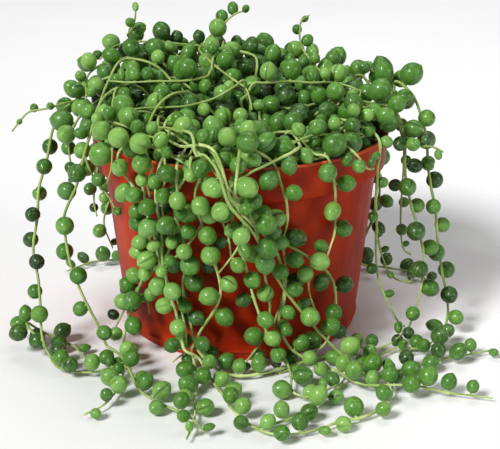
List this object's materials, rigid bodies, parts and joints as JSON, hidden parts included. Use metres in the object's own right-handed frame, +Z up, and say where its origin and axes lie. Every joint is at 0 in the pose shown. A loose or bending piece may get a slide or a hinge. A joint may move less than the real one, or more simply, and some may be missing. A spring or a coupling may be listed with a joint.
{
  "type": "potted string of pearls",
  "caption": "Trailing string of pearls plant in a round plastic nursery pot: thin stems of round green leaves heap over the soil, fall past the rim and lie along the surface.",
  "frame": {"origin": "middle of the flat underside of the pot, on the surface that it stands on", "axes": "+Z up along the pot's axis, -Y towards the side where most stems fall, +X to that side's right"},
  "size_m": [0.2443, 0.2598, 0.1602],
  "materials": {
    "pot_plastic": "terracotta red moulded plastic, satin to glossy",
    "potting_soil": "dark damp peat crumbs with pale grains",
    "leaf": "waxy green round leaves with a darker window line, on pale green stems",
    "stem": "smooth pale green stem, browner towards the soil"
  },
  "bodies": {
    "root": {"pot": "pot_plastic", "soil": "potting_soil", "vine_crown_edge_1": "leaf", "vine_crown_edge_2": "leaf", "vine_crown_edge_3": "leaf", "vine_crown_edge_4": "leaf", "vine_crown_low_1": "leaf", "vine_crown_low_2": "leaf", "vine_crown_low_3": "leaf", "vine_crown_low_4": "leaf", "vine_crown_low_5": "leaf", "vine_crown_middle_1": "leaf", "vine_crown_middle_2": "leaf", "vine_crown_middle_3": "leaf", "vine_crown_middle_4": "leaf", "vine_crown_middle_5": "leaf", "vine_back_1": "leaf", "vine_back_2": "leaf", "vine_back_3": "leaf", "vine_back_4": "leaf", "vine_back_5": "leaf", "vine_back_6": "leaf", "vine_back_7": "leaf", "vine_back_8": "leaf", "vine_back_9": "leaf", "vine_front_01": "leaf", "vine_front_02": "leaf", "vine_front_03": "leaf", "vine_front_04": "leaf", "vine_front_05": "leaf", "vine_front_06": "leaf", "vine_front_07": "leaf", "vine_front_08": "leaf", "vine_front_09": "leaf", "vine_front_10": "leaf", "vine_front_11": "leaf", "vine_front_12": "leaf", "vine_front_13": "leaf", "vine_front_14": "leaf", "vine_left_01": "leaf", "vine_left_02": "leaf", "vine_left_03": "leaf", "vine_left_04": "leaf", "vine_right_01": "leaf", "vine_right_02": "leaf", "vine_right_03": "leaf", "vine_right_04": "leaf", "vine_rim_01": "leaf", "vine_rim_02": "leaf", "vine_rim_03": "leaf", "vine_rim_04": "leaf", "vine_rim_05": "leaf", "vine_rim_06": "leaf", "vine_top_01": "leaf", "vine_top_02": "leaf", "vine_top_03": "leaf", "vine_top_04": "leaf", "vine_top_05": "leaf"}
  },
  "joints": []
}
